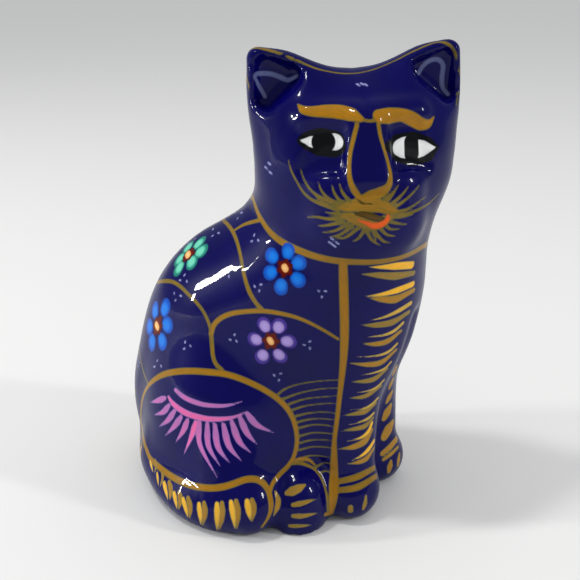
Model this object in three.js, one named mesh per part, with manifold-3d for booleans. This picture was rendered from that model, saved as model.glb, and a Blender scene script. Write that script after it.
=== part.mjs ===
// A seated cat figurine in glazed earthenware, cast in one piece. Millimetres, +Z up.
// The cat sits facing -Y with its right side towards -X, and its head is turned to its right.
// The form is a free one: its pose and proportions are hundredths of its own height, and one smooth
// field, negative inside the clay, joins the masses as soft clay joins them.

import * as THREE from "three";
import Module from "manifold-3d";
import { mergeVertices } from "three/addons/utils/BufferGeometryUtils.js";

// Driving dimensions
const HEIGHT = 175;
const HEAD_TURN = -60;
const HEAD_TILT = -1.8;

// Every length from here to the lattice is in hundredths of the height.
const MIDDLE = { x: -3.5, y: 3 };

// Trunk: the rump, the rising back, the chest with its groove down to the paws, the belly between the
// legs, and the seat that fills the corner between the haunch and the tail
const RUMP = { at: [0, 11.9, 17.7], radii: [18.6, 27.7, 30.1] };
const BACK = { at: [0, 5.1, 42.3], radii: [19, 27.4, 20.8], pitch: -15.8 };
const CHEST = { at: [0, -9.5, 49.5], radii: [17.5, 18.5, 26.1], pitch: -8.9 };
const BELLY = { at: [0, -1.1, 16.9], radii: [15.3, 16.6, 24.5] };
const TRUNK_BLEND = 10.3;
const BELLY_BLEND = 6.9;
const NECK = { from: [0, -11, 71.7], to: [0, -11, 56], radii: [15.8, 17.8] };
const NECK_BLEND = 5.7;
const SEAT = { from: [-12.8, 23.5, 8], to: [-19.2, 5, 11.5], radii: [6.4, 8.8] };
const SEAT_BLEND = 5;
const CHEST_GROOVE = { from: [0, -29.6, 44], to: [0, -23.6, 16], radii: [1, 2.2] };
const CHEST_GROOVE_BLEND = 3;

// Limbs, drawn on the cat's left and mirrored
const HAUNCH = { at: [12.2, 8.9, 18.8], radii: [12.2, 18.6, 19.6], pitch: 12.8 };
const HAUNCH_BLEND = 6;
const HIND_PAW = { at: [16.4, -9.7, 3.7], radii: [7.3, 6.2, 8.9] };
const HIND_PAW_BLEND = 3;
const FORELEG = { from: [5.3, -13.5, 42.3], to: [7.5, -17.3, 6.9], radii: [9, 5.7] };
const FOREPAW = { at: [8.7, -18.4, 5.1], radii: [6.6, 5.9, 5.9] };
const FOREPAW_BLEND = 3.4;
const LEG_BLEND = 4.6;

// Tail: from behind the rump, round the cat's right side, to a blunt tip beside the hind paw
const TAIL_PATH = [
  [6.9, 30.9, 5.7],
  [-5.1, 30.6, 5.7],
  [-14.9, 24.3, 5.3],
  [-21.9, 16, 4.7],
  [-24.6, 7.4, 4.6],
  [-23.4, -0.3, 6],
];
const TAIL_RADII = [5.4, 5.6, 5.5, 5.4, 5.8, 7];
const TAIL_STEPS_PER_SPAN = 4;
const TAIL_BLEND = 3;

// Head, in its own turned frame: the face looks along -Y and what comes in pairs is drawn at +X
const HEAD_AT = [-1.1, -14.7, 78.4];
const HEAD_BLEND = 4.6;
const SKULL = { at: [0, 0, -1.1], radii: [19.5, 16.6, 17.1] };
const TEMPLE = { from: [10.6, -1.6, -3], to: [9.6, -1.6, 6], radii: [8, 9] };
const TEMPLE_BLEND = 3;
const JOWL = { at: [0, -0.6, -13.8], radii: [14, 16, 14.9] };
const JOWL_BLEND = 8;
const EAR = { corners: [[18.9, 19.1], [2.2, 12.3], [15.7, 2.3]], y: -0.5, half: 0.6, round: 1.8 };
const EAR_FOOT = { at: [12.6, 0, 8.7], radii: [7.4, 5.7, 11], roll: 20 };
const EAR_BLEND = 4.6;
const EAR_HOLLOW = { corners: [[17.6, 17.8], [12.9, 16], [17.8, 11.7]], y: -12.6, half: 9.4, round: 2.1 };
const EAR_HOLLOW_BLEND = 1.3;
const JAW = { at: [0, -13.7, -11.4], radii: [9.7, 5.7, 6.9] };
const JAW_BLEND = 5.1;
const BROW = { from: [1.7, -12.6, 8.7], to: [10.2, -10, 9], radii: [2.5, 2] };
const CHEEK = { at: [5.4, -13.5, -4.4], radii: [4.8, 3.4, 3.2] };
const LIPS = { at: [0, -15.4, -8.3], radii: [5.7, 4.6, 2.9] };
const FACE_BLEND = 2.9;
const SOCKET_AT = [8.5, -13.3, 2];
const SOCKET_TURN = 17;
const SOCKET = { corners: [[-3.4, -2.8], [3.1, -2.6], [1, 5], [-3.4, 4.6]], y: -9.3, half: 8, round: 1.3 };
const SOCKET_BLEND = 1.6;
const NOSE_FOOT = [0, -15.9, -2.5];
const NOSE_SLOPE = -14;
const NOSE = { corners: [[-2.2, 0], [2.2, 0], [1, 10.3], [-1, 10.3]], y: 0, half: 1, round: 1.9 };
const NOSE_BLEND = 2.2;

// The lattice that the surface is drawn on follows the figure: its cells are finer at the head and the paws
const COLUMNS = 31;
const HEAD_SPAN = { x: 48, y: 48, cell: 1.5 };
const BODY_SPAN = { x: 76, y: 90, cell: 3.56 };
const FOOT_CELL = 2.2;
const FOOT_LEVEL = { low: 10, high: 16 };
const HEAD_MIDDLE = { x: -1.1, y: -14.7 };
const BODY_MIDDLE = { x: -3.5, y: 4.6 };
const NECK_LEVEL = { low: 50, high: 70 };
const SPARE_BASE = 2.5;
const BOTTOM_MARGIN = 5;
const TOP_MARGIN = 3;
const SETTLE_STEPS = 2;
const RELAX_PASSES = 4;
const RELAX_SHARE = 0.5;
const SLOPE_STEP = 0.05;
const LEAST_SLOPE = 0.25;
const SHORTEST_EDGE = 0.25;
const WEAK = 1e-3;
const SIGN_PASSES = 10;
const CELL_CORNERS = Array.from({ length: 2 ** 3 }, (_, c) => [c & 1, (c >> 1) & 1, c >> 2]);

const GLAZE_COLOUR = 0x0b0b4a;

/** Turns a point back by yaw about Z, pitch about X and roll about Y, in that order. */
function turner(yaw, pitch, roll) {
  const degrees = THREE.MathUtils.degToRad;
  const turn = new THREE.Matrix4().makeRotationZ(degrees(yaw));
  turn.multiply(new THREE.Matrix4().makeRotationX(degrees(pitch)));
  turn.multiply(new THREE.Matrix4().makeRotationY(degrees(roll)));
  return turn.transpose();
}

/** A mass of one of the kinds below carries its own turn, worked out once. */
function withTurn(mass) {
  return { ...mass, back: turner(mass.yaw ?? 0, mass.pitch ?? 0, mass.roll ?? 0) };
}

/** Roughly the distance to an ellipsoid. */
function ellipsoid(p, mass) {
  const q = new THREE.Vector3(p.x - mass.at[0], p.y - mass.at[1], p.z - mass.at[2]);
  if (mass.back) q.applyMatrix4(mass.back);
  const [a, b, c] = mass.radii;
  const near = Math.hypot(q.x / a, q.y / b, q.z / c) + 1e-9;
  const steep = Math.hypot(q.x / (a * a), q.y / (b * b), q.z / (c * c)) + 1e-9;
  return (near * (near - 1)) / steep;
}

/** Distance to a cone with round ends. */
function roundCone(p, from, to, startRadius, endRadius) {
  const [x, y, z] = [p.x - from[0], p.y - from[1], p.z - from[2]];
  const [dx, dy, dz] = [to[0] - from[0], to[1] - from[1], to[2] - from[2]];
  const along = (x * dx + y * dy + z * dz) / (dx * dx + dy * dy + dz * dz);
  const h = THREE.MathUtils.clamp(along, 0, 1);
  const gap = Math.hypot(x - h * dx, y - h * dy, z - h * dz);
  return gap - (startRadius + h * (endRadius - startRadius));
}

/** Distance to a plate: a polygon in X and Z, its corners anticlockwise, thickened in Y and rounded. */
function plate(p, { corners, y, half, round }) {
  let nearest = Infinity;
  let outside = -Infinity;
  corners.forEach(([ax, az], i) => {
    const [bx, bz] = corners[(i + 1) % corners.length];
    const [ex, ez] = [bx - ax, bz - az];
    const [wx, wz] = [p.x - ax, p.z - az];
    const h = THREE.MathUtils.clamp((wx * ex + wz * ez) / (ex * ex + ez * ez), 0, 1);
    nearest = Math.min(nearest, Math.hypot(wx - h * ex, wz - h * ez));
    outside = Math.max(outside, (ez * wx - ex * wz) / Math.hypot(ex, ez));
  });
  const side = outside > 0 ? nearest : -nearest;
  const face = Math.abs(p.y - y) - half;
  return Math.min(Math.max(side, face), 0) + Math.hypot(Math.max(side, 0), Math.max(face, 0)) - round;
}

/** The nearer of two surfaces, with the corner between them filled. */
function join(a, b, blend) {
  const h = THREE.MathUtils.clamp(0.5 + (0.5 * (b - a)) / blend, 0, 1);
  return b * (1 - h) + a * h - blend * h * (1 - h);
}

/** What is left of the first when the second is scooped out of it, with a soft edge. */
function scoop(a, b, blend) {
  return -join(-a, b, blend);
}

const back = withTurn(BACK);
const chest = withTurn(CHEST);
const haunch = withTurn(HAUNCH);
const earFoot = withTurn(EAR_FOOT);
const headTurn = turner(HEAD_TURN, 0, HEAD_TILT);
const noseTurn = turner(0, NOSE_SLOPE, 0);
const socketTurn = turner(SOCKET_TURN, 0, 0);

function trunk(p) {
  let d = ellipsoid(p, RUMP);
  d = join(d, ellipsoid(p, back), TRUNK_BLEND);
  d = join(d, ellipsoid(p, chest), TRUNK_BLEND);
  d = join(d, ellipsoid(p, BELLY), BELLY_BLEND);
  return join(d, roundCone(p, NECK.from, NECK.to, ...NECK.radii), NECK_BLEND);
}

function limbs(d, p) {
  for (const side of [-1, 1]) {
    const q = new THREE.Vector3(p.x * side, p.y, p.z);
    const shin = roundCone(q, FORELEG.from, FORELEG.to, ...FORELEG.radii);
    d = join(d, ellipsoid(q, haunch), HAUNCH_BLEND);
    d = join(d, join(shin, ellipsoid(q, FOREPAW), FOREPAW_BLEND), LEG_BLEND);
    d = join(d, ellipsoid(q, HIND_PAW), HIND_PAW_BLEND);
  }
  return d;
}

/** The tail's centre line and its radius, as a chain of short steps. */
function tailChain() {
  const spans = TAIL_PATH.length - 1;
  const curve = new THREE.CatmullRomCurve3(
    TAIL_PATH.map((point) => new THREE.Vector3(...point)), false, "catmullrom", 0.5);
  return Array.from({ length: spans * TAIL_STEPS_PER_SPAN + 1 }, (_, i) => {
    const place = i / TAIL_STEPS_PER_SPAN;
    const span = Math.min(Math.floor(place), spans - 1);
    const radius = THREE.MathUtils.lerp(TAIL_RADII[span], TAIL_RADII[span + 1], place - span);
    return { point: curve.getPoint(place / spans).toArray(), radius };
  });
}

const tailSteps = tailChain();

function tail(p) {
  let d = Infinity;
  for (let i = 1; i < tailSteps.length; i++) {
    const [a, b] = [tailSteps[i - 1], tailSteps[i]];
    d = Math.min(d, roundCone(p, a.point, b.point, a.radius, b.radius));
  }
  return d;
}

/** A point as seen from a plate that stands at its own place and turn. */
function beside(p, place, turn) {
  return new THREE.Vector3(p.x - place[0], p.y - place[1], p.z - place[2]).applyMatrix4(turn);
}

function face(d, q, pair) {
  d = join(d, ellipsoid(q, JAW), JAW_BLEND);
  d = join(d, roundCone(pair, BROW.from, BROW.to, ...BROW.radii), FACE_BLEND);
  d = scoop(d, plate(beside(pair, SOCKET_AT, socketTurn), SOCKET), SOCKET_BLEND);
  d = join(d, ellipsoid(pair, CHEEK), FACE_BLEND);
  d = join(d, plate(beside(q, NOSE_FOOT, noseTurn), NOSE), NOSE_BLEND);
  return join(d, ellipsoid(q, LIPS), FACE_BLEND);
}

function head(p) {
  const q = beside(p, HEAD_AT, headTurn);
  const pair = new THREE.Vector3(Math.abs(q.x), q.y, q.z);
  const temple = roundCone(pair, TEMPLE.from, TEMPLE.to, ...TEMPLE.radii);
  const skull = join(join(ellipsoid(q, SKULL), temple, TEMPLE_BLEND), ellipsoid(q, JOWL), JOWL_BLEND);
  const ears = join(plate(pair, EAR), ellipsoid(pair, earFoot), EAR_BLEND);
  const whole = face(join(skull, ears, EAR_BLEND), q, pair);
  return scoop(whole, plate(pair, EAR_HOLLOW), EAR_HOLLOW_BLEND);
}

/** The whole cat's field, with some spare clay below the level that it stands on. */
function cat(p) {
  const groove = roundCone(p, CHEST_GROOVE.from, CHEST_GROOVE.to, ...CHEST_GROOVE.radii);
  const seat = roundCone(p, SEAT.from, SEAT.to, ...SEAT.radii);
  let d = limbs(join(trunk(p), head(p), HEAD_BLEND), p);
  d = join(scoop(d, groove, CHEST_GROOVE_BLEND), seat, SEAT_BLEND);
  return Math.max(join(d, tail(p), TAIL_BLEND), -SPARE_BASE - p.z);
}

/** The field's value and its slope at a point. */
function slope(p) {
  const value = cat(p);
  const grad = ["x", "y", "z"].map((axis) => {
    const q = p.clone();
    q[axis] += SLOPE_STEP;
    return (cat(q) - value) / SLOPE_STEP;
  });
  return { value, grad: new THREE.Vector3(...grad) };
}

/** The levels of the lattice, from below the base to above the ears. */
function lattice() {
  const levels = [];
  for (let z = -BOTTOM_MARGIN; z < 100 + TOP_MARGIN + HEAD_SPAN.cell;) {
    levels.push(z);
    const clear = THREE.MathUtils.smoothstep(z, FOOT_LEVEL.low, FOOT_LEVEL.high);
    const rise = THREE.MathUtils.smoothstep(z, NECK_LEVEL.low, NECK_LEVEL.high);
    const low = THREE.MathUtils.lerp(FOOT_CELL, BODY_SPAN.cell, clear);
    z += THREE.MathUtils.lerp(low, HEAD_SPAN.cell, rise);
  }
  return levels;
}

/** A lattice point's place: the columns lean and gather with height, as the figure does. */
function latticePoint(i, j, z) {
  const rise = THREE.MathUtils.smoothstep(z, NECK_LEVEL.low, NECK_LEVEL.high);
  const [x, y] = ["x", "y"].map((axis, k) => {
    const share = [i, j][k] / COLUMNS - 0.5;
    const span = THREE.MathUtils.lerp(BODY_SPAN[axis], HEAD_SPAN[axis], rise);
    return THREE.MathUtils.lerp(BODY_MIDDLE[axis], HEAD_MIDDLE[axis], rise) + share * span;
  });
  return new THREE.Vector3(x, y, z);
}

/** Calls a function with the first corner of every lattice cell. */
function eachCell(layers, visit) {
  for (let k = 0; k < layers; k++) {
    for (let j = 0; j < COLUMNS; j++) {
      for (let i = 0; i < COLUMNS; i++) visit(i, j, k);
    }
  }
}

/** Turns the weakest corner over wherever clay meets clay only across a diagonal of a face or a cell. */
function plainSigns(values, layers, index) {
  const steps = [index(1, 0, 0), index(0, 1, 0), index(0, 0, 1)];
  const inside = (a) => values[a] < 0;
  let changed = true;
  const turnWeakest = (corners) => {
    const weakest = corners.reduce((a, b) => (Math.abs(values[a]) <= Math.abs(values[b]) ? a : b));
    values[weakest] = inside(weakest) ? WEAK : -WEAK;
    changed = true;
  };
  const visit = (i, j, k) => {
    const a = index(i, j, k);
    for (const [u, v] of [[steps[0], steps[1]], [steps[1], steps[2]], [steps[2], steps[0]]]) {
      const crossed = inside(a) === inside(a + u + v) && inside(a + u) === inside(a + v);
      if (crossed && inside(a) !== inside(a + u)) turnWeakest([a, a + u, a + v, a + u + v]);
    }
    const corners = CELL_CORNERS.map((at) => a + index(...at));
    for (let c = 0; c < corners.length / 2; c++) {
      const pair = [corners[c], corners.at(-1 - c)];
      const rest = corners.filter((corner) => !pair.includes(corner));
      const alone = rest.every((corner) => inside(corner) !== inside(pair[0]));
      if (alone && inside(pair[0]) === inside(pair[1])) turnWeakest(pair);
    }
  };
  for (let pass = 0; changed && pass < SIGN_PASSES; pass++) {
    changed = false;
    eachCell(layers, visit);
  }
}

/** The field's zero surface as vertices and triangles: one vertex in each lattice cell that it crosses. */
function surface() {
  const levels = lattice();
  const layers = levels.length - 1;
  const side = COLUMNS + 1;
  const index = (i, j, k) => (k * side + j) * side + i;
  const points = [];
  for (const z of levels) {
    for (let j = 0; j < side; j++) {
      for (let i = 0; i < side; i++) points.push(latticePoint(i, j, z));
    }
  }
  const values = points.map(cat);
  plainSigns(values, layers, index);

  const crossing = (a, b) => {
    const share = values[a] / (values[a] - values[b]);
    return points[a].clone().lerp(points[b], share);
  };
  const steps = [[1, 0, 0], [0, 1, 0], [0, 0, 1]];
  const vertices = [];
  const cellVertex = new Map();
  eachCell(layers, (i, j, k) => {
    const sum = new THREE.Vector3();
    let count = 0;
    for (const at of CELL_CORNERS) {
      const a = index(i + at[0], j + at[1], k + at[2]);
      steps.forEach((step, axis) => {
        if (at[axis]) return;
        const b = a + index(...step);
        if (values[a] < 0 === values[b] < 0) return;
        sum.add(crossing(a, b));
        count += 1;
      });
    }
    if (!count) return;
    cellVertex.set(index(i, j, k), vertices.length);
    vertices.push(settle(sum.divideScalar(count)));
  });

  const triangles = [];
  eachCell(layers, (i, j, k) => {
    const a = index(i, j, k);
    steps.forEach((step, axis) => {
      const b = a + index(...step);
      const inside = values[a] < 0;
      if (inside === values[b] < 0) return;
      const [u, v] = [steps[(axis + 1) % 3], steps[(axis + 2) % 3]];
      const ring = [a - index(...u) - index(...v), a - index(...v), a, a - index(...u)];
      const quad = ring.map((cell) => cellVertex.get(cell));
      if (!inside) quad.reverse();
      triangles.push(...halves(quad, vertices));
    });
  });
  relax(vertices, triangles);
  return { vertices, triangles };
}

/** Evens out the vertices along the surface: each goes towards the middle of its neighbours, then back. */
function relax(vertices, triangles) {
  for (let pass = 0; pass < RELAX_PASSES; pass++) {
    const sums = vertices.map(() => ({ total: new THREE.Vector3(), count: 0 }));
    triangles.forEach((a, i) => {
      const b = triangles[i % 3 === 2 ? i - 2 : i + 1];
      sums[a].total.add(vertices[b]);
      sums[a].count += 1;
    });
    vertices.forEach((p, i) => settle(p.lerp(sums[i].total.divideScalar(sums[i].count), RELAX_SHARE)));
  }
}

/** Moves a point along the slope until it lies on the surface. */
function settle(p) {
  for (let step = 0; step < SETTLE_STEPS; step++) {
    const { value, grad } = slope(p);
    p.addScaledVector(grad, -value / Math.max(grad.lengthSq(), LEAST_SLOPE));
  }
  return p;
}

/** Two triangles from a quad, split along its shorter diagonal. */
function halves([a, b, c, d], vertices) {
  const across = vertices[a].distanceTo(vertices[c]) <= vertices[b].distanceTo(vertices[d]);
  return across ? [a, b, c, a, c, d] : [a, b, d, b, c, d];
}

/** Puts vertices that nearly lie on the standing level onto it, and makes one of any two that nearly touch. */
function tidied({ vertices, triangles }) {
  for (const p of vertices) {
    if (Math.abs(p.z) < SHORTEST_EDGE) p.z = 0;
  }
  const keeper = vertices.map((_, i) => i);
  const kept = (i) => (keeper[i] === i ? i : kept(keeper[i]));
  for (let i = 0; i < triangles.length; i++) {
    const next = i % 3 === 2 ? i - 2 : i + 1;
    const [a, b] = [kept(triangles[i]), kept(triangles[next])].sort((m, n) => m - n);
    if (a !== b && vertices[a].distanceTo(vertices[b]) < SHORTEST_EDGE) keeper[b] = a;
  }
  const left = new Map();
  for (let i = 0; i < triangles.length; i += 3) {
    const corners = triangles.slice(i, i + 3).map(kept);
    if (new Set(corners).size < corners.length) continue;
    const name = corners.toSorted((m, n) => m - n).join();
    // Two triangles back to back on the same corners shut away nothing, so both go.
    if (!left.delete(name)) left.set(name, corners);
  }
  return { vertices, triangles: [...left.values()].flat() };
}

const wasm = await Module();
wasm.setup();

/** A closed indexed mesh as a solid that can be cut. */
function solid(vertProperties, triVerts) {
  return new wasm.Manifold(new wasm.Mesh({ numProp: 3, vertProperties, triVerts }));
}

/** A block that takes away all that lies below the level the cat stands on. */
function groundBlock() {
  const side = 2 * HEIGHT;
  const box = new THREE.BoxGeometry(side, side, side);
  box.deleteAttribute("normal");
  box.deleteAttribute("uv");
  box.translate(0, 0, -side / 2);
  const merged = mergeVertices(box);
  return solid(new Float32Array(merged.attributes.position.array), new Uint32Array(merged.index.array));
}

/** The cat at its real size, centred on its base and cut flat where it stands. */
function catGeometry() {
  const unit = HEIGHT / 100;
  const { vertices, triangles } = tidied(surface());
  const positions = vertices.flatMap((p) => [(p.x - MIDDLE.x) * unit, (p.y - MIDDLE.y) * unit, p.z * unit]);
  const whole = solid(new Float32Array(positions), new Uint32Array(triangles));
  const cut = whole.subtract(groundBlock()).getMesh();
  const geometry = new THREE.BufferGeometry();
  geometry.setAttribute("position", new THREE.BufferAttribute(cut.vertProperties, 3));
  geometry.setIndex(new THREE.BufferAttribute(cut.triVerts, 1));
  geometry.computeVertexNormals();
  return geometry;
}

const glaze = new THREE.MeshStandardMaterial({ color: GLAZE_COLOUR, roughness: 0.12, metalness: 0 });
const figure = new THREE.Mesh(catGeometry(), glaze);
figure.name = "cat";

const object = new THREE.Group();
object.add(figure);

export default object;
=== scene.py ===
import bmesh
import bpy
import math
import numpy as np
from mathutils import Matrix, Vector
from mathutils.bvhtree import BVHTree


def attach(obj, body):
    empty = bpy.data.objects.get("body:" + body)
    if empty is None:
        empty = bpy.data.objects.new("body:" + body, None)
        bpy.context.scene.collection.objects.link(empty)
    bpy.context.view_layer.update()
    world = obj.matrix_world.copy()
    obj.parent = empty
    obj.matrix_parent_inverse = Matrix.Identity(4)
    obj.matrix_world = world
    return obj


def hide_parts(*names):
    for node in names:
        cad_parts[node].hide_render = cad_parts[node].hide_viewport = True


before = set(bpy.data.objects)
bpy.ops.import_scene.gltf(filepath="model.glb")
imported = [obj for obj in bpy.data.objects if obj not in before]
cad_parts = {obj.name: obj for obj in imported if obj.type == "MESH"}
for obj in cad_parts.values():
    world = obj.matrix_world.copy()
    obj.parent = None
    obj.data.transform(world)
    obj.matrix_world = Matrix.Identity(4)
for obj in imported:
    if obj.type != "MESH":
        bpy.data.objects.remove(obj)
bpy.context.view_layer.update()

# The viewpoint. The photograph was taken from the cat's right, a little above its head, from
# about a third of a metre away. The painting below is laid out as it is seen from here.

MM = 0.001
PHOTO_SIDE = 580
FOCUS_PX = 947.6
SENSOR_MM = 36
EYE = Vector((-308.1, -146.5, 201.5)) * MM
AIM = Vector((6.1, -5.2, 80.6)) * MM

ahead = (AIM - EYE).normalized()
rightward = ahead.cross(Vector((0, 0, 1))).normalized()
upward = rightward.cross(ahead)

camera = bpy.data.objects.new("camera", bpy.data.cameras.new("camera"))
camera.data.lens = SENSOR_MM * FOCUS_PX / PHOTO_SIDE
camera.data.sensor_width = SENSOR_MM
camera.location = EYE
camera.rotation_mode = "QUATERNION"
camera.rotation_quaternion = ahead.to_track_quat("-Z", "Y")
bpy.context.scene.collection.objects.link(camera)
bpy.context.scene.camera = camera

# The cat's body. It is earthenware, slip-cast in a mould in one piece, so every mass runs softly
# into the next. The same masses as in the CAD source are drawn here on a finer mesh.
# Lengths are in hundredths of the cat's height.

UNIT = 0.00175
MIDDLE = np.array([-3.5, 3, 0])

RUMP = dict(at=(0, 11.9, 17.7), radii=(18.6, 27.7, 30.1))
BACK = dict(at=(0, 5.1, 42.3), radii=(19, 27.4, 20.8), pitch=-15.8)
CHEST = dict(at=(0, -9.5, 49.5), radii=(17.5, 18.5, 26.1), pitch=-8.9)
BELLY = dict(at=(0, -1.1, 16.9), radii=(15.3, 16.6, 24.5))
NECK = dict(start=(0, -11, 71.7), end=(0, -11, 56), radii=(15.8, 17.8))
SEAT = dict(start=(-12.8, 23.5, 8), end=(-19.2, 5, 11.5), radii=(6.4, 8.8))
CHEST_GROOVE = dict(start=(0, -29.6, 44), end=(0, -23.6, 16), radii=(1, 2.2))
HAUNCH = dict(at=(12.2, 8.9, 18.8), radii=(12.2, 18.6, 19.6), pitch=12.8)
HIND_PAW = dict(at=(16.4, -9.7, 3.7), radii=(7.3, 6.2, 8.9))
FORELEG = dict(start=(5.3, -13.5, 42.3), end=(7.5, -17.3, 6.9), radii=(9, 5.7))
FOREPAW = dict(at=(8.7, -18.4, 5.1), radii=(6.6, 5.9, 5.9))
TAIL_PATH = np.array([(6.9, 30.9, 5.7), (-5.1, 30.6, 5.7), (-14.9, 24.3, 5.3), (-21.9, 16, 4.7),
                      (-24.6, 7.4, 4.6), (-23.4, -0.3, 6)])
TAIL_RADII = (5.4, 5.6, 5.5, 5.4, 5.8, 7)
TAIL_STEPS_PER_SPAN = 4
TRUNK_BLEND, BELLY_BLEND, NECK_BLEND, SEAT_BLEND, GROOVE_BLEND = 10.3, 6.9, 5.7, 5, 3
HAUNCH_BLEND, HIND_PAW_BLEND, FOREPAW_BLEND, LEG_BLEND, TAIL_BLEND = 6, 3, 3.4, 4.6, 3
SPARE_BASE = 2.5
NOT_ZERO = 1e-9


def turned(points, yaw=0, pitch=0, roll=0):
    """Points seen from a mass that is turned by yaw about Z, pitch about X and roll about Y."""
    turn = (Matrix.Rotation(math.radians(yaw), 3, "Z") @ Matrix.Rotation(math.radians(pitch), 3, "X")
            @ Matrix.Rotation(math.radians(roll), 3, "Y"))
    return points @ np.array(turn)


def ellipsoid(points, at, radii, pitch=0, roll=0):
    q = turned(points - at, 0, pitch, roll)
    near = np.linalg.norm(q / radii, axis=1) + NOT_ZERO
    steep = np.linalg.norm(q / np.square(radii), axis=1) + NOT_ZERO
    return near * (near - 1) / steep


def round_cone(points, start, end, radii):
    line = np.subtract(end, start)
    h = np.clip((points - start) @ line / (line @ line), 0, 1)
    radius = radii[0] + h * (radii[1] - radii[0])
    return np.linalg.norm(points - start - h[:, None] * line, axis=1) - radius


def join(a, b, blend):
    """The nearer of two surfaces, with the corner between them filled."""
    h = np.clip(0.5 + 0.5 * (b - a) / blend, 0, 1)
    return b * (1 - h) + a * h - blend * h * (1 - h)


def scoop(a, b, blend):
    """What is left of the first when the second is scooped out of it."""
    return -join(-a, b, blend)


def trunk(p):
    d = join(ellipsoid(p, **RUMP), ellipsoid(p, **BACK), TRUNK_BLEND)
    d = join(d, ellipsoid(p, **CHEST), TRUNK_BLEND)
    d = join(d, ellipsoid(p, **BELLY), BELLY_BLEND)
    return join(d, round_cone(p, **NECK), NECK_BLEND)


def limbs(d, p):
    for side in (-1, 1):
        q = p * (side, 1, 1)
        foreleg = join(round_cone(q, **FORELEG), ellipsoid(q, **FOREPAW), FOREPAW_BLEND)
        d = join(d, ellipsoid(q, **HAUNCH), HAUNCH_BLEND)
        d = join(d, foreleg, LEG_BLEND)
        d = join(d, ellipsoid(q, **HIND_PAW), HIND_PAW_BLEND)
    return d


def smooth_line(points, steps):
    """Points along a smooth curve through the given ones, with so many steps in each span."""
    p = np.array(points, float)
    ends = np.vstack([2 * p[0] - p[1], p, 2 * p[-1] - p[-2]])
    out = []
    for i in range(len(p) - 1):
        a, b, c, d = ends[i:i + 4]
        for t in np.arange(steps) / steps:
            out.append(0.5 * (2 * b + (c - a) * t + (2 * a - 5 * b + 4 * c - d) * t * t
                              + (3 * b - a - 3 * c + d) * t ** 3))
    return np.array(out + [p[-1]])


tail_line = smooth_line(TAIL_PATH, TAIL_STEPS_PER_SPAN)
tail_places = np.arange(len(tail_line)) / TAIL_STEPS_PER_SPAN
tail_radii = np.interp(tail_places, range(len(TAIL_RADII)), TAIL_RADII)


def tail(p):
    lengths = []
    for i in range(len(tail_line) - 1):
        lengths.append(round_cone(p, tail_line[i], tail_line[i + 1], tail_radii[i:i + 2]))
    return np.min(lengths, axis=0)


# The head. It was cast with the body and is turned to the cat's right. The brows, the eyes in
# their sockets, the nose, the cheeks and the lips are low relief from the mould.
# The face looks along -Y in the head's own turned frame, and what comes in pairs is at +X.

HEAD_AT, HEAD_TURN, HEAD_TILT = (-1.1, -14.7, 78.4), -60, -1.8
SKULL = dict(at=(0, 0, -1.1), radii=(19.5, 16.6, 17.1))
TEMPLE = dict(start=(10.6, -1.6, -3), end=(9.6, -1.6, 6), radii=(8, 9))
JOWL = dict(at=(0, -0.6, -13.8), radii=(14, 16, 14.9))
EAR = dict(corners=((18.9, 19.1), (2.2, 12.3), (15.7, 2.3)), y=-0.5, half=0.6, rounding=1.8)
EAR_FOOT = dict(at=(12.6, 0, 8.7), radii=(7.4, 5.7, 11), roll=20)
EAR_HOLLOW = dict(corners=((17.6, 17.8), (12.9, 16), (17.8, 11.7)), y=-12.6, half=9.4, rounding=2.1)
JAW = dict(at=(0, -13.7, -11.4), radii=(9.7, 5.7, 6.9))
BROW = dict(start=(1.7, -12.6, 8.7), end=(10.2, -10, 9), radii=(2.5, 2))
CHEEK = dict(at=(5.4, -13.5, -4.4), radii=(4.8, 3.4, 3.2))
LIPS = dict(at=(0, -15.4, -8.3), radii=(5.7, 4.6, 2.9))
SOCKET_AT, SOCKET_TURN = (8.5, -13.3, 2), 17
SOCKET = dict(corners=((-3.4, -2.8), (3.1, -2.6), (1, 5), (-3.4, 4.6)), y=-9.3, half=8, rounding=1.3)
NOSE_FOOT, NOSE_SLOPE = (0, -15.9, -2.5), -14
NOSE = dict(corners=((-2.2, 0), (2.2, 0), (1, 10.3), (-1, 10.3)), y=0, half=1, rounding=1.9)
HEAD_BLEND, TEMPLE_BLEND, JOWL_BLEND, EAR_BLEND, EAR_HOLLOW_BLEND = 4.6, 3, 8, 4.6, 1.3
JAW_BLEND, FACE_BLEND, SOCKET_BLEND, NOSE_BLEND = 5.1, 2.9, 1.6, 2.2


def plate(p, corners, y, half, rounding):
    """A polygon in X and Z, its corners anticlockwise, thickened in Y and rounded."""
    nearest, outside = np.full(len(p), np.inf), np.full(len(p), -np.inf)
    for a, b in zip(corners, corners[1:] + corners[:1]):
        edge = np.subtract(b, a)
        w = p[:, [0, 2]] - a
        h = np.clip(w @ edge / (edge @ edge), 0, 1)
        nearest = np.minimum(nearest, np.linalg.norm(w - h[:, None] * edge, axis=1))
        outside = np.maximum(outside, w @ (edge[1], -edge[0]) / np.linalg.norm(edge))
    side = np.where(outside > 0, nearest, -nearest)
    face = np.abs(p[:, 1] - y) - half
    within = np.minimum(np.maximum(side, face), 0)
    return within + np.hypot(np.maximum(side, 0), np.maximum(face, 0)) - rounding


def face_relief(d, q, pair):
    d = join(d, ellipsoid(q, **JAW), JAW_BLEND)
    d = join(d, round_cone(pair, **BROW), FACE_BLEND)
    d = scoop(d, plate(turned(pair - SOCKET_AT, SOCKET_TURN), **SOCKET), SOCKET_BLEND)
    d = join(d, ellipsoid(pair, **CHEEK), FACE_BLEND)
    d = join(d, plate(turned(q - NOSE_FOOT, 0, NOSE_SLOPE), **NOSE), NOSE_BLEND)
    return join(d, ellipsoid(q, **LIPS), FACE_BLEND)


def in_head(p):
    return turned(p - HEAD_AT, HEAD_TURN, 0, HEAD_TILT)


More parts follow.
